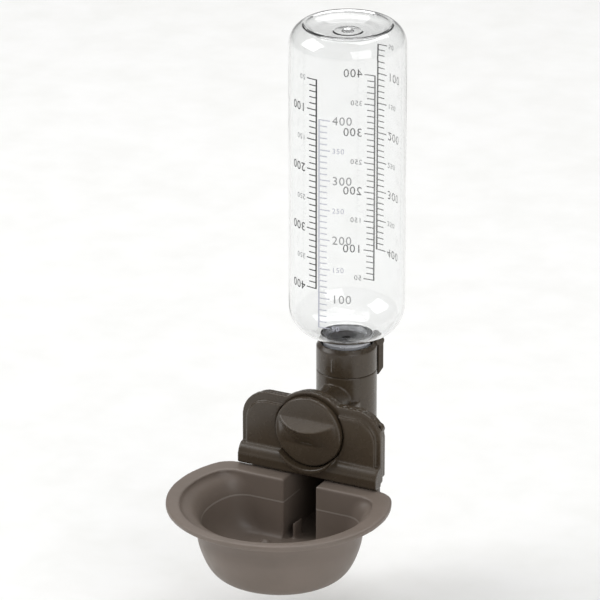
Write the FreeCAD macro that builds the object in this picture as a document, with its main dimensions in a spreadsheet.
import FreeCAD, Part
import math
import os
import re
import Sketcher
from FreeCAD import Placement, Rotation, Vector

# A cage-mounted drinker for a rabbit. An upside-down bottle plugs into an upright tube behind
# the cage wall, a butterfly-shaped clamp grips the cage wires, and the water runs through a
# channel under the clamp into a bowl inside the cage.
#
# Frame, in millimetres: the origin is on the clamp screw's axis, in the rear plate's clamping
# face. +Z is up, -Y points into the cage (towards the bowl), +X is to the right.

doc = FreeCAD.newDocument("rabbit_drinker")

SIZES = (
    # the whole drinker
    ("axis_y", 38.5),             # clamping face to bottle axis
    ("running_gap", 0.3),         # between faces that move past each other
    ("slip_gap", 0.05),           # between fixed pieces that are pushed together
    ("thread_pitch", 4.0),        # lead of the bottle thread and of the clamp screw
    # bottle
    ("bottle_radius", 31.5),
    ("bottle_wall", 0.9),
    ("shoulder_z", 58.5),         # where the shoulder meets the straight side
    ("shoulder_radius", 18.0),
    ("heel_z", 206.0),            # where the straight side meets the heel
    ("heel_radius", 12.5),
    ("heel_angle", 65.0),         # how far the heel turns before the stand ring
    ("pushup_depth", 4.3),
    ("pushup_flat_radius", 8.6),
    ("neck_radius", 12.8),
    ("neck_bore", 11.2),
    ("neck_bead", 1.5),           # how far the transfer bead stands out
    ("mouth_z", 24.0),
    ("thread_depth", 1.2),
    ("thread_turns", 2.0),
    # tube, cap and valve
    ("tube_radius", 16.5),
    ("tube_wall", 2.4),
    ("tube_bottom_z", -24.0),
    ("tube_floor", 3.0),
    ("cap_seat_z", 20.6),         # joint line between cap and tube
    ("cap_top_z", 36.4),
    ("cap_floor", 2.0),
    ("lever_angle", 48.0),        # from the drinker's right towards its back
    ("seal_thickness", 1.4),
    ("spigot_bottom_z", 8.0),
    ("port_radius", 6.0),
    ("ring_section", 0.95),       # section radius of the cap's O-ring
    ("valve_lift", 3.0),
    ("valve_radius", 8.5),
    ("valve_washer_thickness", 1.6),
    ("plunger_disc", 2.0),
    ("cage_wall", 1.3),
    ("cage_roof", 1.6),
    ("cage_radius", 10.2),
    ("cage_top_z", 37.5),
    ("post_radius", 2.2),
    ("post_top_z", 12.0),
    ("ledge_z", 0.0),
    ("ledge_width", 1.5),
    ("opener_height", 2.5),
    ("spout_radius", 7.0),
    ("spout_wall", 1.5),
    ("spout_mouth_z", -40.0),
    ("gasket_thickness", 1.0),
    # clamp
    ("plate_half_width", 41.7),
    ("plate_thickness", 3.2),
    ("wing_top_z", 16.3),
    ("wing_corner", 15.3),
    ("arch_radius", 23.8),
    ("arch_z", -2.2),
    ("arch_fillet", 3.0),
    ("plate_bottom_z", -25.2),
    ("panel_height", 1.8),
    ("panel_inset", 3.0),
    ("panel_top_drop", 4.8),
    ("ledge_reach", 6.0),         # lower ledge, forward of the plate's face
    ("ledge_top_z", -14.0),
    ("shelf_radius", 17.5),
    ("shelf_z", -5.5),
    ("shelf_reach", 8.2),
    ("rear_inset", 0.9),
    ("lug_radius", 3.2),
    ("lug_x", 37.6),
    ("lug_z", 6.2),
    ("rear_thickness", 4.0),
    ("apron_half_width", 38.2),
    ("apron_bottom_z", -34.0),
    ("groove_pitch", 4.0),
    ("groove_depth", 1.0),
    ("pin_x", 27.0),
    ("pin_z", -9.0),
    ("pin_radius", 2.0),
    ("clamp_travel", 10.0),
    ("knob_radius", 19.5),
    ("knob_thickness", 3.95),
    ("grip_height", 7.0),
    ("grip_half_base", 7.5),
    ("crest_z", 2.6),             # lowest point of the grip's crest
    ("washer_thickness", 0.8),
    ("screw_radius", 4.0),
    ("nut_thickness", 5.5),
    ("clip_thickness", 0.8),
    ("clip_bite", 0.75),          # how deep the clip sits in the screw's groove
    ("block_half_width", 13.4),
    ("block_top_z", 7.0),
    ("block_bottom_z", -20.0),
    ("gusset_radius", 9.3),
    ("screw_x", 10.4),
    ("screw_z_top", 3.6),
    ("screw_z_low", -13.0),
    ("small_screw_radius", 1.5),
    ("small_head_radius", 2.8),
    # bowl
    ("rim_top_z", -26.0),
    ("rim_radius", 60.2),
    ("rim_centre_y", -41.0),
    ("rim_thickness", 3.2),
    ("bowl_back_y", -6.0),
    ("back_flange", 11.0),        # width of the rim along the bowl's back
    ("bowl_radius", 46.5),
    ("bowl_centre_y", -39.5),
    ("bowl_wall", 2.4),
    ("bowl_base_z", -67.2),
    ("foot_height", 4.0),         # hollow under the floor, inside the foot ring
    ("bowl_floor", 2.8),
    ("bump_radius", 3.0),
    ("bump_x", 16.0),
    ("channel_half_width", 9.8),
    ("channel_wall", 1.5),
    ("channel_top_z", -27.2),
    ("skirt_wall", 1.8),
    ("skirt_depth", 12.0),
)

# sizes that follow from the ones above
DERIVED = {
    "neck_z": "shoulder_z - shoulder_radius",
    "shoulder_neck_radius": "bottle_radius - shoulder_radius",
    "heel_centre_r": "bottle_radius - heel_radius",
    "ring_r": "heel_centre_r + heel_radius * cos(heel_angle)",
    "ring_z": "heel_z + heel_radius * sin(heel_angle)",
    "inner_heel_radius": "heel_radius - bottle_wall",
    "cap_bore": "neck_radius + thread_depth + running_gap",
    "floor_top_z": "mouth_z - seal_thickness",
    "floor_low_z": "floor_top_z - cap_floor",
    "tube_bore": "tube_radius - tube_wall",
    "spigot_radius": "tube_bore - running_gap",
    "spigot_bore": "spigot_radius - 2.6",
    "ring_groove_radius": "tube_bore - 0.1 - 2 * ring_section",
    "ring_mid_z": "spigot_bottom_z + 6",
    "tube_floor_z": "tube_bottom_z + tube_floor",
    "ledge_bore": "tube_bore - ledge_width",
    "spout_flange_z": "tube_floor_z + gasket_thickness",
    "disc_low_z": "floor_top_z + valve_lift",
    "disc_seat_z": "disc_low_z + valve_washer_thickness",
    "knob_back_y": "knob_seat_y - washer_thickness - slip_gap",
    "knob_seat_y": "-running_gap - plate_thickness + 0.3",
    "knob_face_y": "knob_back_y - knob_thickness",
    "plate_face_y": "-running_gap - plate_thickness",
    "panel_face_y": "plate_face_y - panel_height",
    "knob_hole": "knob_radius + 0.7",
    "screw_hole": "screw_radius + running_gap",
    "screw_head_flats": "3 * screw_radius",
    "screw_tip_y": "axis_y - tube_radius - 3",
    "nut_flats": "3.25 * screw_radius",
    "clip_radius": "screw_radius + 3.4",
    "clip_y": "slip_gap - running_gap",
    "channel_outer": "channel_half_width + channel_wall",
    "skirt_inner": "channel_outer + running_gap",
    "skirt_outer": "skirt_inner + skirt_wall",
    "bowl_floor_z": "bowl_base_z + foot_height + bowl_floor",
    "channel_floor_z": "bowl_floor_z - 0.4",
    "inner_back_y": "bowl_back_y - back_flange",
}

CELLS = {alias for alias, _ in SIZES}
AXES = {"z": Rotation(), "y": Rotation(Vector(1, 0, 0), -90)}


def make_sheet():
    """Write the driving sizes into a spreadsheet, one alias for each."""
    sheet = doc.addObject("Spreadsheet::Sheet", "Sizes")
    for row, (alias, size) in enumerate(SIZES, 1):
        sheet.set("A%d" % row, alias)
        sheet.set("B%d" % row, str(size))
        sheet.setAlias("B%d" % row, alias)
    doc.recompute()
    return sheet


sheet = make_sheet()


def formula(text):
    """Spell a size formula out in the sheet's cells."""
    def one(match):
        word = match.group(0)
        if word in DERIVED:
            return "(" + formula(DERIVED[word]) + ")"
        return "Sizes." + word if word in CELLS else word
    return re.sub(r"[a-z][a-z_0-9]*", one, str(text))


def mm(text):
    """The number that a size formula comes to."""
    return float(sheet.evalExpression(formula(text)))


def bind(obj, **formulas):
    """Tie properties to formulas; a double underscore stands for a dot."""
    for name, text in formulas.items():
        obj.setExpression(name.replace("__", "."), formula(text))


def put(obj, at, axis="z"):
    """Turn an object's own Z to an axis and tie its place."""
    obj.Placement = Placement(Vector(), AXES[axis])
    for letter, text in zip("xyz", at):
        if str(text) != "0":
            obj.setExpression("Placement.Base." + letter, formula(text))
    return obj


def on_axis(height):
    """A place on the bottle's axis."""
    return ("0", "axis_y", height)


def box(name, low, high):
    """A block from its lowest to its highest corner."""
    obj = put(doc.addObject("Part::Box", name), low)
    sides = ["(%s) - (%s)" % (b, a) for a, b in zip(low, high)]
    bind(obj, Length=sides[0], Width=sides[1], Height=sides[2])
    return obj


def rod(name, at, radius, length, axis="z"):
    obj = put(doc.addObject("Part::Cylinder", name), at, axis)
    bind(obj, Radius=radius, Height=length)
    return obj


def cone(name, at, radius_low, radius_high, length, axis="z"):
    obj = put(doc.addObject("Part::Cone", name), at, axis)
    bind(obj, Radius1=radius_low, Radius2=radius_high, Height=length)
    return obj


def hoop(name, at, ring_radius, section_radius, axis="z"):
    obj = put(doc.addObject("Part::Torus", name), at, axis)
    bind(obj, Radius1=ring_radius, Radius2=section_radius)
    return obj


def ball(name, at, radius):
    obj = put(doc.addObject("Part::Sphere", name), at)
    bind(obj, Radius=radius)
    return obj


def hexagon(name, at, flats, length, axis="z"):
    obj = put(doc.addObject("Part::Prism", name), at, axis)
    bind(obj, Circumradius="(%s) / sqrt(3)" % flats, Height=length)
    return obj


def joined(name, *pieces, refine=True):
    """Unite pieces; a thread's union keeps its split faces, because merging them breaks it."""
    obj = doc.addObject("Part::MultiFuse", name)
    obj.Shapes = list(pieces)
    obj.Refine = refine
    return obj


def cut(name, base, *tools):
    """Take every tool away from the base."""
    obj = doc.addObject("Part::Cut", name)
    obj.Base = base
    obj.Tool = tools[0] if len(tools) == 1 else joined(name + "_tools", *tools)
    return obj


def shared(name, *pieces):
    obj = doc.addObject("Part::MultiCommon", name)
    obj.Shapes = list(pieces)
    return obj


def ring(name, at, bore, radius, length, axis="z"):
    """A flat ring, washer or sleeve."""
    return cut(name, rod(name + "_outside", at, radius, length, axis),
               rod(name + "_bore", at, bore, length, axis))


def shape_feature(name, shape, at=("0", "0", "0")):
    """A shape made by Part's own functions, with its place tied to the sheet."""
    obj = doc.addObject("Part::Feature", name)
    obj.Shape = shape
    return put(obj, at)


def sketch_on(body, role, name, lift="0"):
    """A sketch on one of the body's own origin planes, lifted along its normal."""
    sketch = body.newObject("Sketcher::SketchObject", name)
    plane = [f for f in body.Origin.OriginFeatures if f.Role == role][0]
    sketch.AttachmentSupport = [(plane, "")]
    sketch.MapMode = "FlatFace"
    sketch.setExpression("AttachmentOffset.Base.z", formula(lift))
    return sketch


def arc_between(start, end, radius, turn):
    """The short arc between two points; turn is 1 when it runs anticlockwise, else -1."""
    middle = (start + end) * 0.5
    chord = end - start
    left = Vector(-chord.y, chord.x, 0).normalize()
    depth = math.sqrt(max(radius ** 2 - (chord.Length / 2) ** 2, 0))
    centre = middle + left * (turn * depth)
    first, last = (start, end) if turn > 0 else (end, start)
    angles = [math.atan2(p.y - centre.y, p.x - centre.x) for p in (first, last)]
    return Part.ArcOfCircle(Part.Circle(centre, Vector(0, 0, 1), radius), *angles)


def draw(sketch, corners):
    """Draw a closed outline. A corner is (x, y), or (x, y, radius, turn) when an arc ends there."""
    points = [Vector(mm(c[0]), mm(c[1]), 0) for c in corners]
    first = sketch.GeometryCount
    starts = []
    for i, corner in enumerate(corners):
        begin, end = points[i - 1], points[i]
        if len(corner) == 4:
            sketch.addGeometry(arc_between(begin, end, mm(corner[2]), corner[3]), False)
            index = sketch.addConstraint(Sketcher.Constraint("Radius", first + i, mm(corner[2])))
            sketch.setExpression("Constraints[%d]" % index, formula(corner[2]))
            starts.append(1 if corner[3] > 0 else 2)
        else:
            sketch.addGeometry(Part.LineSegment(begin, end), False)
            starts.append(1)
    for i, corner in enumerate(corners):
        following = (i + 1) % len(corners)
        end_side = 3 - starts[i]
        sketch.addConstraint(Sketcher.Constraint(
            "Coincident", first + i, end_side, first + following, starts[following]))
        for kind, axis in (("DistanceX", 0), ("DistanceY", 1)):
            index = sketch.addConstraint(
                Sketcher.Constraint(kind, -1, 1, first + i, end_side, points[i][axis]))
            sketch.setExpression("Constraints[%d]" % index, formula(corner[axis]))


def revolved(name, corners):
    """A body turned about the bottle's axis from an outline of (radius, height) corners."""
    body = put(doc.addObject("PartDesign::Body", name), on_axis("0"))
    sketch = sketch_on(body, "XZ_Plane", name + "_section")
    draw(sketch, corners)
    turn = body.newObject("PartDesign::Revolution", name + "_turned")
    turn.Profile = sketch
    turn.ReferenceAxis = (sketch, ["V_Axis"])
    turn.Angle = 360
    return body


def pad(body, sketch, name, length, reverse=False):
    feature = body.newObject("PartDesign::Pad", name)
    feature.Profile = sketch
    bind(feature, Length=length)
    feature.Reversed = reverse
    return feature


def coiled(spine, corners):
    """Sweep a closed section, given as (radius, height) corners, along a helix."""
    points = [Vector(radius, 0, height) for radius, height in corners]
    sweep = Part.BRepOffsetAPI.MakePipeShell(spine)
    sweep.setFrenetMode(True)
    sweep.add(Part.makePolygon(points + points[:1]), False, False)
    sweep.build()
    sweep.makeSolid()
    return sweep.shape()


def thread(root, depth, foot, crest, turns):
    """A helical ridge: outward when depth is positive, inward when it is negative."""
    pitch = mm("thread_pitch")
    buried = root - math.copysign(0.3, depth)
    tip = root + depth
    return coiled(Part.makeHelix(pitch, pitch * turns, root),
                  [(buried, -foot / 2), (tip, -crest / 2), (tip, crest / 2), (buried, foot / 2)])


# ---------------------------------------------------------------- bottle and cap

def bottle():
    """Blown bottle, neck down: threaded neck, round shoulder, straight side, pushed-up base."""
    outside = [
        ("neck_radius", "mouth_z"),
        ("neck_radius", "neck_z - 3.4"),
        ("neck_radius + neck_bead", "neck_z - 2.8"),
        ("neck_radius + neck_bead", "neck_z - 1.6"),
        ("shoulder_neck_radius", "neck_z - 1"),
        ("shoulder_neck_radius", "neck_z"),
        ("bottle_radius", "shoulder_z", "shoulder_radius", 1),
        ("bottle_radius", "heel_z"),
        ("ring_r", "ring_z", "heel_radius", 1),
        ("ring_r - 1.7", "ring_z - 0.4"),
        ("ring_r - 3.8", "ring_z - 2.8"),
        ("pushup_flat_radius", "ring_z - pushup_depth"),
        ("pushup_flat_radius - 1", "ring_z - pushup_depth + 0.6"),
        ("0", "ring_z - pushup_depth + 1.4"),
    ]
    inside = [
        ("0", "ring_z - pushup_depth + 1.4 - bottle_wall"),
        ("pushup_flat_radius - 1", "ring_z - pushup_depth + 0.6 - bottle_wall"),
        ("pushup_flat_radius", "ring_z - pushup_depth - bottle_wall"),
        ("ring_r - 3.4", "ring_z - 2.8 - bottle_wall"),
        ("ring_r - 1.3", "ring_z - 0.4 - bottle_wall"),
        ("heel_centre_r + inner_heel_radius * cos(heel_angle)",
         "heel_z + inner_heel_radius * sin(heel_angle)"),
        ("bottle_radius - bottle_wall", "heel_z", "inner_heel_radius", -1),
        ("bottle_radius - bottle_wall", "shoulder_z"),
        ("shoulder_neck_radius", "neck_z + bottle_wall", "shoulder_radius - bottle_wall", -1),
        ("neck_bore", "neck_z"),
        ("neck_bore", "mouth_z"),
    ]
    blown = revolved("bottle_blown", outside + inside)
    ridge = thread(mm("neck_radius"), mm("thread_depth"), 1.8, 1.0, mm("thread_turns"))
    start = "mouth_z + 1.6"
    return joined("bottle", blown, shape_feature("bottle_thread", ridge, on_axis(start)),
                  refine=False)


def bottle_cap():
    """Screw cap that stays on the bottle and plugs into the tube."""
    section = [
        ("cap_bore", "floor_top_z"),
        ("cap_bore", "cap_top_z"),
        ("cap_bore + 0.5", "cap_top_z"),
        ("tube_radius", "cap_top_z - 2.3"),
        ("tube_radius", "cap_seat_z"),
        ("spigot_radius", "cap_seat_z"),
        ("spigot_radius", "ring_mid_z + ring_section + 0.1"),
        ("ring_groove_radius", "ring_mid_z + ring_section + 0.1"),
        ("ring_groove_radius", "ring_mid_z - ring_section - 0.1"),
        ("spigot_radius", "ring_mid_z - ring_section - 0.1"),
        ("spigot_radius", "spigot_bottom_z"),
        ("spigot_bore", "spigot_bottom_z"),
        ("spigot_bore", "floor_low_z"),
        ("port_radius", "floor_low_z"),
        ("port_radius", "floor_top_z"),
    ]
    collar = revolved("cap_moulding", section)
    ridge = thread(mm("cap_bore"), -mm("thread_depth"), 1.4, 0.8, 1.8)
    inner_thread = shape_feature("cap_thread", ridge, on_axis("mouth_z + 3.6"))
    mark = box("cap_mark", ("-0.6", "axis_y - tube_radius - 0.6", "mouth_z"),
               ("0.6", "axis_y - tube_radius + 1", "mouth_z + 7"))
    return joined("bottle_cap", joined("cap_outside", collar, mark, finger_lever()),
                  inner_thread, refine=False)


def finger_lever():
    """Lever on the cap's side: an upright strip with a round top, cut aslant underneath."""
    strip_in, low = "tube_radius + 0.7", "cap_seat_z - 6"
    strip = box("lever_strip", (strip_in, "axis_y - 3", low),
                ("tube_radius + 3.9", "axis_y + 3", "cap_top_z - 2.4"))
    web = box("lever_web", ("tube_radius - 1", "axis_y - 1", "cap_seat_z + 3"),
              ("tube_radius + 2", "axis_y + 1", "cap_top_z - 3"))
    top = rod("lever_top", ("tube_radius + 1.6", "axis_y - 3.4", "cap_top_z - 1.6"),
              "2.6", "6.8", "y")
    slant = put(doc.addObject("Part::Box", "lever_slant"), (strip_in, "axis_y - 4", low))
    bind(slant, Length="6", Width="8", Height="9")
    slant.Placement.Rotation = Rotation(Vector(0, 1, 0), 38)
    lever = cut("cap_lever", joined("lever_blank", strip, web, top), slant)
    lever.Placement.Rotation = Rotation(Vector(0, 0, 1), mm("lever_angle"))
    bind(lever, Placement__Base__x="axis_y * sin(lever_angle)",
         Placement__Base__y="axis_y * (1 - cos(lever_angle))")
    return lever


def neck_seal():
    """Flat rubber ring that the bottle's lip presses on."""
    return ring("neck_seal", on_axis("floor_top_z"), "neck_bore", "neck_radius",
                "seal_thickness")


def cap_o_ring():
    """O-ring that seals the cap's spigot in the tube."""
    return hoop("cap_o_ring", on_axis("ring_mid_z"),
                "ring_groove_radius + ring_section + slip_gap", "ring_section")


def crossed(name, half_width, low, high):
    """Two upright slabs that cross on the bottle's axis."""
    return joined(name,
                  box(name + "_x", ("-20", "axis_y - " + half_width, low),
                      ("20", "axis_y + " + half_width, high)),
                  box(name + "_y", ("-" + half_width, "axis_y - 20", low),
                      (half_width, "axis_y + 20", high)))


def valve_plunger():
    """Valve disc on a cross-shaped stem; the post in the tube holds it up."""
    low, high = "post_top_z", "disc_seat_z"
    head = rod("plunger_head", on_axis(high), "valve_radius", "plunger_disc")
    hub = rod("plunger_hub", on_axis(high + " + plunger_disc"), "3.4", "1.5")
    guide = rod("plunger_guide", on_axis(low), "port_radius - running_gap",
                "%s - %s" % (high, low))
    foot = rod("plunger_foot", on_axis(low), "post_radius + 0.6", "1.5")
    stem = shared("plunger_stem", guide,
                  joined("plunger_blades", crossed("plunger_cross", "0.8", low, high), foot))
    return joined("valve_plunger", head, hub, stem)


def valve_washer():
    """Rubber washer under the valve disc."""
    return ring("valve_washer", on_axis("disc_low_z"), "port_radius - running_gap + slip_gap",
                "valve_radius - 0.2", "valve_washer_thickness")


def valve_spring():
    """Compression spring between the disc and the top of the valve cage."""
    turns, radius, wire, sides = 3.5, 4.5, 0.45, 8
    low = "disc_seat_z + plunger_disc + 0.4"
    height = mm("cage_top_z - cage_roof - (%s)" % low) - 2 * wire
    corners = [(radius + wire * math.cos(math.tau * i / sides),
                wire * math.sin(math.tau * i / sides)) for i in range(sides)]
    coil = coiled(Part.makeHelix(height / turns, height, radius), corners)
    return shape_feature("valve_spring", coil, on_axis("%s + %g" % (low, wire)))


def valve_cage():
    """Four-legged cage that keeps the spring above the valve."""
    bore = "cage_radius - cage_wall"
    low, height = "floor_top_z", "cage_top_z - floor_top_z"
    foot = ring("cage_foot", on_axis(low), bore, "cage_radius", "1.2")
    shell = ring("cage_shell", on_axis(low), bore, "cage_radius", height)
    legs = shared("cage_legs", shell, crossed("cage_cross", "2", low, "cage_top_z"))
    top = ring("cage_top", on_axis("cage_top_z - cage_roof"), "2.5", "cage_radius", "cage_roof")
    return joined("valve_cage", foot, legs, top)


# ---------------------------------------------------------------- tube

def housing():
    """Upright tube with a floor, an inner ledge, the bracket block and the channel's skirt."""
    section = [
        ("tube_bore", "cap_seat_z"),
        ("tube_bore", "ledge_z"),
        ("ledge_bore", "ledge_z"),
        ("ledge_bore", "ledge_z - 3"),
        ("tube_bore", "ledge_z - 3 - ledge_width"),
        ("tube_bore", "tube_floor_z"),
        ("spout_radius + running_gap", "tube_floor_z"),
        ("spout_radius + running_gap", "tube_bottom_z"),
        ("tube_radius", "tube_bottom_z"),
        ("tube_radius", "cap_seat_z"),
    ]
    tube = revolved("housing_tube", section)
    half = "block_half_width"
    block = box("housing_block", ("-" + half, "rear_thickness", "block_bottom_z"),
                (half, "axis_y", "block_top_z"))
    gusset = rod("housing_gusset", ("0", "rear_thickness", "block_top_z"), "gusset_radius",
                 "axis_y - rear_thickness", "y")
    tube_room = rod("housing_room", on_axis("tube_bottom_z - 30"), "tube_radius - 0.1", "90")
    root = box("housing_root", ("-skirt_outer", "rear_thickness + 1", "tube_bottom_z"),
               ("skirt_outer", "axis_y", "block_bottom_z"))
    arm = cut("housing_arm", joined("housing_arm_blank", block, gusset, root), tube_room)
    pocket = hexagon("nut_pocket", ("0", "rear_thickness", "0"), "nut_flats + 2 * slip_gap",
                     "nut_thickness + 0.5", "y")
    bore = rod("screw_room", ("0", "rear_thickness", "0"), "screw_hole",
               "axis_y - tube_radius - rear_thickness - 1.2", "y")
    pilots = [rod("pilot_%d" % i, (x, "rear_thickness", z), "small_screw_radius + slip_gap",
                  "9", "y") for i, (x, z) in enumerate(small_screw_places())]
    skirt = joined(
        "skirt_blank",
        box("skirt_sides", ("-skirt_outer", "rear_thickness + 1", "tube_bottom_z - skirt_depth"),
            ("skirt_outer", "axis_y", "tube_bottom_z")),
        rod("skirt_round", on_axis("tube_bottom_z - skirt_depth"), "skirt_outer",
            "skirt_depth"))
    skirt_room = joined(
        "skirt_room",
        box("skirt_room_sides", ("-skirt_inner", "0", "tube_bottom_z - 2 * skirt_depth"),
            ("skirt_inner", "axis_y", "tube_bottom_z")),
        rod("skirt_room_round", on_axis("tube_bottom_z - 2 * skirt_depth"), "skirt_inner",
            "2 * skirt_depth"))
    arm_cut = cut("housing_arm_cut", arm, pocket, bore, *pilots)
    return joined("housing", tube, arm_cut, cut("housing_skirt", skirt, skirt_room))


def small_screw_places():
    """Where the four screws hold the rear plate on the block."""
    return [(side + "screw_x", height) for side in ("", "-")
            for height in ("screw_z_top", "screw_z_low")]


def valve_opener():
    """Ring with three arms and a post that lifts the cap's valve."""
    rim = ring("opener_rim", on_axis("ledge_z"), "ledge_bore - 1", "tube_bore - running_gap",
               "opener_height")
    post = rod("opener_post", on_axis("ledge_z"), "post_radius", "post_top_z - ledge_z")
    arms = []
    for i in range(3):
        arm = doc.addObject("Part::Box", "opener_arm_%d" % i)
        bind(arm, Length="ledge_bore - 0.5", Width="1.6", Height="opener_height")
        put(arm, on_axis("ledge_z"))
        arm.Placement.Rotation = Rotation(Vector(0, 0, 1), 120 * i + 90)
        arms.append(arm)
    return joined("valve_opener", rim, post, *arms)


def spout_seal():
    """Flat gasket under the spout's flange."""
    return ring("spout_seal", on_axis("tube_floor_z"), "spout_radius + 2.5",
                "tube_bore - running_gap", "gasket_thickness")


def outlet_spout():
    """Funnel and spout; the water level in the bowl settles at the spout's mouth."""
    bore = "spout_radius - spout_wall"
    section = [
        (bore, "spout_mouth_z"),
        ("spout_radius", "spout_mouth_z"),
        ("spout_radius", "spout_flange_z"),
        ("tube_bore - running_gap", "spout_flange_z"),
        ("tube_bore - running_gap", "spout_flange_z + 4"),
        ("tube_bore - 1.5", "spout_flange_z + 4"),
        (bore, "spout_flange_z + 0.5"),
    ]
    return revolved("outlet_spout", section)


# ---------------------------------------------------------------- clamp

def butterfly(inset, bottom, foot_half, foot_corner):
    """Outline of a clamp plate: two round-shouldered wings with an arch between them."""
    side = "(plate_half_width - %s)" % inset
    top = "(wing_top_z - %s)" % inset
    corner = "(wing_corner - %s)" % inset
    arch = "(arch_radius - %s)" % inset
    fillet = "(arch_fillet + %s)" % inset
    notch = "sqrt((%s + %s)^2 - (%s + %s - arch_z)^2)" % (arch, fillet, top, fillet)
    on_arch_x = "%s / (%s + %s) * %s" % (arch, arch, fillet, notch)
    on_arch_z = "arch_z + %s / (%s + %s) * (%s + %s - arch_z)" % (arch, arch, fillet, top, fillet)
    inner_foot, foot_top = "%s - %s" % (foot_half, foot_corner), "%s + %s" % (bottom, foot_corner)
    return [
        ("-(%s)" % inner_foot, bottom, foot_corner, 1),
        (inner_foot, bottom),
        (foot_half, foot_top, foot_corner, 1),
        (side, "%s - %s" % (top, corner)),
        ("%s - %s" % (side, corner), top, corner, 1),
        (notch, top),
        (on_arch_x, on_arch_z, fillet, -1),
        ("0", "arch_z + " + arch, arch, 1),
        ("-" + on_arch_x, on_arch_z, arch, 1),
        ("-" + notch, top, fillet, -1),
        ("-%s + %s" % (side, corner), top),
        ("-" + side, "%s - %s" % (top, corner), corner, 1),
        ("-" + foot_half, foot_top),
    ]


def grooves(name, face_y, deeper_y):
    """Upright grooves in both wings, so that round wires can't slide sideways."""
    bars = []
    for side in ("", "-"):
        for i in range(6):
            middle = "%s(pin_x - 8 + %d * groove_pitch)" % (side, i)
            low = "-17" if i < 4 else "-13"
            bars.append(box("%s_%s%d" % (name, "l" if side else "r", i),
                            (middle + " - 0.9", face_y, low), (middle + " + 0.9", deeper_y, "40")))
    return bars


def front_plate():
    """Front clamp plate: rim, raised panel, lower ledge, shelf under the knob, guide pins."""
    body = doc.addObject("PartDesign::Body", "front_moulding")
    rim = sketch_on(body, "XZ_Plane", "front_rim_sketch", "running_gap")
    draw(rim, butterfly("0", "plate_bottom_z", "plate_half_width", "3"))
    pad(body, rim, "front_rim", "plate_thickness")
    side = "(plate_half_width - panel_inset)"
    top = "(wing_top_z - panel_top_drop)"
    corner = "(wing_corner - panel_inset)"
    panel = sketch_on(body, "XZ_Plane", "front_panel_sketch", "-plate_face_y")
    draw(panel, [
        ("-" + side, "plate_bottom_z + 2"),
        (side, "plate_bottom_z + 2"),
        (side, "%s - %s" % (top, corner)),
        ("%s - %s" % (side, corner), top, corner, 1),
        ("-%s + %s" % (side, corner), top),
        ("-" + side, "%s - %s" % (top, corner), corner, 1),
    ])
    pad(body, panel, "front_panel", "panel_height")
    shelf = rod("shelf_drum", ("0", "plate_face_y - shelf_reach", "shelf_z"), "shelf_radius",
                "shelf_reach", "y")
    shelf_low = box("shelf_low", ("-30", "plate_face_y - shelf_reach", "plate_bottom_z"),
                    ("30", "plate_face_y", "shelf_z - 5"))
    pins = [rod("guide_pin_" + name, (side_x, "-running_gap - 0.5", "pin_z"), "pin_radius",
                "clamp_travel + rear_thickness - 0.5", "y")
            for name, side_x in (("r", "pin_x"), ("l", "-pin_x"))]
    blank = joined("front_blank", body, ledge_bar(), shared("front_shelf", shelf, shelf_low),
                   *pins)
    knob_room = rod("knob_room", ("0", "knob_seat_y - 30", "0"), "knob_hole", "30", "y")
    hole = rod("front_hole", ("0", "-30", "0"), "screw_hole", "60", "y")
    return cut("front_plate", blank, knob_room, hole,
               *grooves("front_groove", "-running_gap - groove_depth", "0"))


def ledge_bar():
    """Lower ledge: a hollow curve that runs out to a flat front face."""
    body = doc.addObject("PartDesign::Body", "ledge_body")
    half = "plate_half_width"
    sketch = sketch_on(body, "YZ_Plane", "ledge_sketch", "-" + half)
    front = "(plate_face_y - ledge_reach)"
    draw(sketch, [
        ("plate_face_y + 1", "ledge_top_z"),
        ("panel_face_y", "ledge_top_z"),
        ("%s + 0.6" % front, "ledge_top_z - 4.6", "7", 1),
        (front, "ledge_top_z - 5.6"),
        (front, "plate_bottom_z + 1"),
        ("%s + 1" % front, "plate_bottom_z"),
        ("plate_face_y + 1", "plate_bottom_z"),
    ])
    pad(body, sketch, "ledge_pad", "2 * " + half)
    return body


def rear_plate():
    """Rear clamp plate with side lugs and a lower apron, slotted for the bowl's channel."""
    body = doc.addObject("PartDesign::Body", "rear_moulding")
    sketch = sketch_on(body, "XZ_Plane", "rear_sketch")
    draw(sketch, butterfly("rear_inset", "-22.2", "(plate_half_width - rear_inset)", "1.5"))
    pad(body, sketch, "rear_pad", "rear_thickness", reverse=True)
    apron = box("rear_apron", ("-apron_half_width", "0", "apron_bottom_z"),
                ("apron_half_width", "rear_thickness", "-20"))
    lugs = [rod("rear_lug_" + name, (x, "0", "lug_z"), "lug_radius", "rear_thickness", "y")
            for name, x in (("r", "lug_x"), ("l", "-lug_x"))]
    blank = joined("rear_blank", body, apron, *lugs)
    slot = box("channel_slot", ("-channel_outer - 0.5", "-1", "-60"),
               ("channel_outer + 0.5", "rear_thickness + 1", "channel_top_z + 0.6"))
    hole = rod("rear_hole", ("0", "-1", "0"), "screw_hole", "rear_thickness + 2", "y")
    clip_room = rod("clip_room", ("0", "-1", "0"), "clip_radius + 1.5", "2.8", "y")
    pin_holes = [rod("pin_hole_" + name, (x, "-1", "pin_z"), "pin_radius + running_gap",
                     "rear_thickness + 2", "y")
                 for name, x in (("r", "pin_x"), ("l", "-pin_x"))]
    screw_holes = []
    for i, (x, z) in enumerate(small_screw_places()):
        screw_holes.append(rod("rear_screw_hole_%d" % i, (x, "-1", z),
                               "small_screw_radius + 0.2", "rear_thickness + 2", "y"))
        screw_holes.append(rod("rear_head_room_%d" % i, (x, "-1", z),
                               "small_head_radius + 0.2", "3.1", "y"))
    return cut("rear_plate", blank, slot, hole, clip_room, *pin_holes, *screw_holes,
               *grooves("rear_groove", "-1", "groove_depth"))


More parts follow.
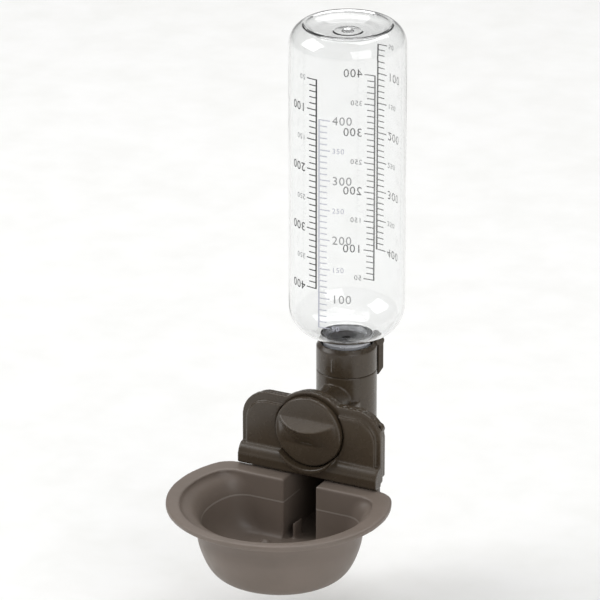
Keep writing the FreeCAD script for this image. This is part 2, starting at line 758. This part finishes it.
def rear_plate_screws():
    """Four pan-head screws, heads sunk into the rear plate."""
    screws = []
    for i, (x, z) in enumerate(small_screw_places()):
        head = rod("small_head_%d" % i, (x, "0.3", z), "small_head_radius", "1.8", "y")
        shank = rod("small_shank_%d" % i, (x, "2.1", z), "small_screw_radius", "9", "y")
        drive = joined("small_drive_%d" % i,
                       box("drive_a%d" % i, (x + " - 1.6", "0", z + " - 0.3"),
                           (x + " + 1.6", "1.2", z + " + 0.3")),
                       box("drive_b%d" % i, (x + " - 0.3", "0", z + " - 1.6"),
                           (x + " + 0.3", "1.2", z + " + 1.6")))
        screws.append(cut("small_screw_%d" % i, joined("small_blank_%d" % i, head, shank), drive))
    group = doc.addObject("Part::Compound", "rear_plate_screws")
    group.Links = screws
    return group


def clamp_nut():
    """Hexagon nut held in the block behind the rear plate."""
    blank = hexagon("nut_blank", ("0", "rear_thickness", "0"), "nut_flats", "nut_thickness", "y")
    bore = rod("nut_bore", ("0", "rear_thickness - 1", "0"), "screw_radius + 0.25",
               "nut_thickness + 2", "y")
    return cut("clamp_nut", blank, bore)


def thrust_washer():
    """Slippery washer between the knob and the front plate."""
    return ring("thrust_washer", ("0", "knob_seat_y - washer_thickness", "0"),
                "screw_hole + 2.4", "knob_radius - 6", "washer_thickness", "y")


def retaining_clip():
    """Spring clip in the screw's groove; it draws the front plate back with the knob."""
    plain = ring("clip_ring", ("0", "clip_y", "0"), "screw_radius - clip_bite", "clip_radius",
                 "clip_thickness", "y")
    mouth = box("clip_mouth", ("-2.6", "-2", "-20"), ("2.6", "2", "0"))
    return cut("retaining_clip", plain, mouth)


def clamp_screw():
    """Screw moulded into the knob: hexagon head, round shank, thread at the far end."""
    head = hexagon("screw_head", ("0", "knob_face_y - 1", "0"), "screw_head_flats",
                   "knob_thickness + 1", "y")
    shank = rod("screw_shank", ("0", "knob_back_y - 1", "0"), "screw_radius",
                "screw_tip_y - knob_back_y", "y")
    tip = cone("screw_point", ("0", "screw_tip_y - 1", "0"), "screw_radius", "screw_radius - 1",
               "1", "y")
    groove = ring("clip_groove", ("0", "clip_y - slip_gap", "0"),
                  "screw_radius - clip_bite - slip_gap", "screw_radius + 1",
                  "clip_thickness + 2 * slip_gap", "y")
    return cut("clamp_screw", joined("screw_blank", head, shank, tip), groove)


def grip_solid():
    """Finger grip of the knob: a flat half-moon leans out to a round crest, and a skirt runs back."""
    half_base, face = mm("grip_half_base"), mm("knob_face_y")
    half_span = math.sqrt((mm("knob_radius") - 0.8) ** 2 - half_base ** 2)
    left_low, right_low = [Vector(x, face, -half_base) for x in (-half_span, half_span)]
    left_top, right_top = [Vector(x, face, half_base) for x in (-half_span, half_span)]
    middle = Vector(0, face - mm("grip_height"), mm("crest_z"))
    crest = Part.Arc(left_top, middle, right_top).toShape()
    half_moon = Part.Face(Part.Wire([crest, Part.makeLine(right_top, left_top)]))
    skirt = Part.makeRuledSurface(Part.makeLine(left_low, right_low), crest)
    base = Part.Face(Part.makePolygon([left_low, right_low, right_top, left_top, left_low]))
    shell = Part.makeShell([half_moon, skirt, base])
    shell.sewShape()
    solid = Part.makeSolid(shell)
    if solid.Volume < 0:
        solid.reverse()
    return solid


def knob():
    """Round clamp knob with a finger grip across its face."""
    disc = rod("knob_disc", ("0", "knob_face_y", "0"), "knob_radius", "knob_thickness", "y")
    soft = doc.addObject("Part::Fillet", "knob_soft")
    soft.Base = disc
    doc.recompute()
    rims = [i for i, edge in enumerate(disc.Shape.Edges, 1)
            if edge.BoundBox.YLength < 0.01 and edge.BoundBox.YMin < mm("knob_face_y") + 0.1]
    soft.Edges = [(i, 1.0, 1.0) for i in rims]
    blank = joined("knob_blank", soft, shape_feature("knob_grip", grip_solid()))
    head_room = hexagon("knob_socket", ("0", "knob_face_y - 1 - slip_gap", "0"),
                        "screw_head_flats + 2 * slip_gap", "knob_thickness + 2", "y")
    return cut("knob", blank, head_room)


# ---------------------------------------------------------------- bowl

def d_outline(height, radius, centre_y, back_y, corner):
    """A D in plan: a round front, a straight back and two rounded rear corners."""
    corner_y = back_y - corner
    reach = radius - corner
    corner_x = math.sqrt(reach ** 2 - (corner_y - centre_y) ** 2)
    away = Vector(corner_x, corner_y - centre_y, 0) * (radius / reach)
    turn = math.atan2(away.y, away.x)
    half_turn = (turn + math.pi / 2) / 2
    middle = Vector(math.cos(half_turn), math.sin(half_turn), 0) * corner

    def at(x, y):
        return Vector(x, y, height)

    side = (away.x, centre_y + away.y)
    bend = (corner_x + middle.x, corner_y + middle.y)
    front = Part.Arc(at(-side[0], side[1]), at(0, centre_y - radius), at(*side)).toShape()
    right = Part.Arc(at(*side), at(*bend), at(corner_x, back_y)).toShape()
    back = Part.makeLine(at(corner_x, back_y), at(-corner_x, back_y))
    left = Part.Arc(at(-corner_x, back_y), at(-bend[0], bend[1]), at(-side[0], side[1])).toShape()
    return Part.Wire([front, right, back, left])


def lofted(rows):
    """A solid through D outlines; each row is height, radius, centre, back and corner."""
    return Part.makeLoft([d_outline(*row) for row in rows], True, False)


def bowl_shapes():
    """The bowl's rim, its outside and its hollow, each as a solid."""
    top, base, floor = mm("rim_top_z"), mm("bowl_base_z"), mm("bowl_floor_z")
    wall, radius = mm("bowl_wall"), mm("bowl_radius")
    middle, inner_back = mm("bowl_centre_y"), mm("inner_back_y")
    back = inner_back + wall + 0.6
    under = top - mm("rim_thickness")
    depth = under - base
    rim = d_outline(under, mm("rim_radius"), mm("rim_centre_y"), mm("bowl_back_y"), 14)
    rim_solid = Part.Face(rim).extrude(Vector(0, 0, mm("rim_thickness")))
    outside = lofted([
        (under + 0.5, radius + 8.4, middle - 3.2, back + 1.6, 13),
        (under - 1.6, radius + 3.0, middle - 1.2, back + 0.4, 13),
        (under - 5, radius, middle, back, 13),
        (under - 0.45 * depth, radius - 2.2, middle, back, 13),
        (under - 0.72 * depth, radius - 5.0, middle, back - 0.4, 13),
        (under - 0.90 * depth, radius - 8.6, middle, back - 1.6, 12),
        (base, radius - 13.5, middle, back - 4, 11),
    ])
    drop = top - floor
    hollow = lofted([
        (top + 0.5, mm("rim_radius") - 9.8, mm("rim_centre_y") - 3.9, inner_back, 12),
        (top - 2.0, radius + 4.4, middle - 3.4, inner_back, 12),
        (top - 5.0, radius + 0.2, middle - 1.2, inner_back, 12),
        (top - 9.0, radius - 0.4 - wall, middle, inner_back, 12),
        (top - 0.60 * drop, radius - 3.0 - wall, middle, inner_back, 12),
        (floor + 6.0, radius - 5.4 - wall, middle, inner_back, 12),
        (floor + 1.6, radius - 9.0 - wall, middle, inner_back - 0.8, 11),
        (floor, radius - 13.0 - wall, middle, inner_back - 2.6, 10),
    ])
    return rim_solid, outside, hollow


def stadium(name, half_width, low_z, high_z, front_y):
    """An upright slab that ends in a half-round about the bottle's axis."""
    return joined(name,
                  box(name + "_run", ("-" + half_width, front_y, low_z),
                      (half_width, "axis_y", high_z)),
                  rod(name + "_end", on_axis(low_z), half_width, "(%s) - (%s)" % (high_z, low_z)))


def bowl():
    """Drinking bowl with a wide rim and a channel that runs back under the tube."""
    rim_solid, outside, hollow = bowl_shapes()
    shell = joined("bowl_blank", shape_feature("bowl_rim", rim_solid),
                   shape_feature("bowl_outside", outside),
                   stadium("channel_outside", "channel_outer", "channel_floor_z - 2.2",
                           "channel_top_z", "inner_back_y + 0.5"))
    notch = stadium("bowl_notch", "channel_half_width", "channel_floor_z", "rim_top_z + 5",
                    "inner_back_y - 4")
    foot = cone("bowl_foot_room", ("0", "bowl_centre_y", "bowl_base_z - 1"),
                "bowl_radius - 19", "bowl_radius - 22", "foot_height + 1")
    foot_trim = box("foot_trim", ("-60", "inner_back_y - 7", "bowl_base_z - 2"),
                    ("60", "60", "bowl_floor_z"))
    hollowed = cut("bowl_hollowed", shell, shape_feature("bowl_hollow", hollow), notch,
                   cut("bowl_foot_recess", foot, foot_trim))
    fin = box("channel_fin", ("-5.5", "inner_back_y + 2", "channel_floor_z - 1"),
              ("-3.9", "inner_back_y + 11", "channel_floor_z + 9"))
    bumps = [ball("floor_bump_" + name, (x, "inner_back_y - 9", "bowl_floor_z - 1.2"),
                  "bump_radius") for name, x in (("r", "bump_x"), ("l", "-bump_x"))]
    return joined("bowl", hollowed, fin, *bumps)


NODES = (
    bottle, bottle_cap, neck_seal, cap_o_ring, valve_plunger, valve_washer, valve_spring,
    valve_cage, housing, valve_opener, spout_seal, outlet_spout, front_plate, rear_plate,
    rear_plate_screws, clamp_nut, thrust_washer, retaining_clip, clamp_screw, knob, bowl,
)


def check_and_write(made):
    """Stop on any failed object, then write one STEP file for each sub-part."""
    doc.recompute()
    failed = [o.Name for o in doc.Objects if {"Invalid", "Error"} & set(o.State)]
    if failed:
        raise RuntimeError("failed objects: " + ", ".join(failed))
    for name, obj in made.items():
        if obj.Shape.isNull() or not obj.Shape.isValid() or not obj.Shape.Solids:
            raise RuntimeError("bad shape: " + name)
    os.makedirs("parts", exist_ok=True)
    for name, obj in made.items():
        obj.Label = name
        obj.Shape.exportStep("parts/%s.step" % name)
        print("%-20s %d solid(s) %10.1f mm3" % (name, len(obj.Shape.Solids), obj.Shape.Volume))


made = {maker.__name__: maker() for maker in NODES}
check_and_write(made)
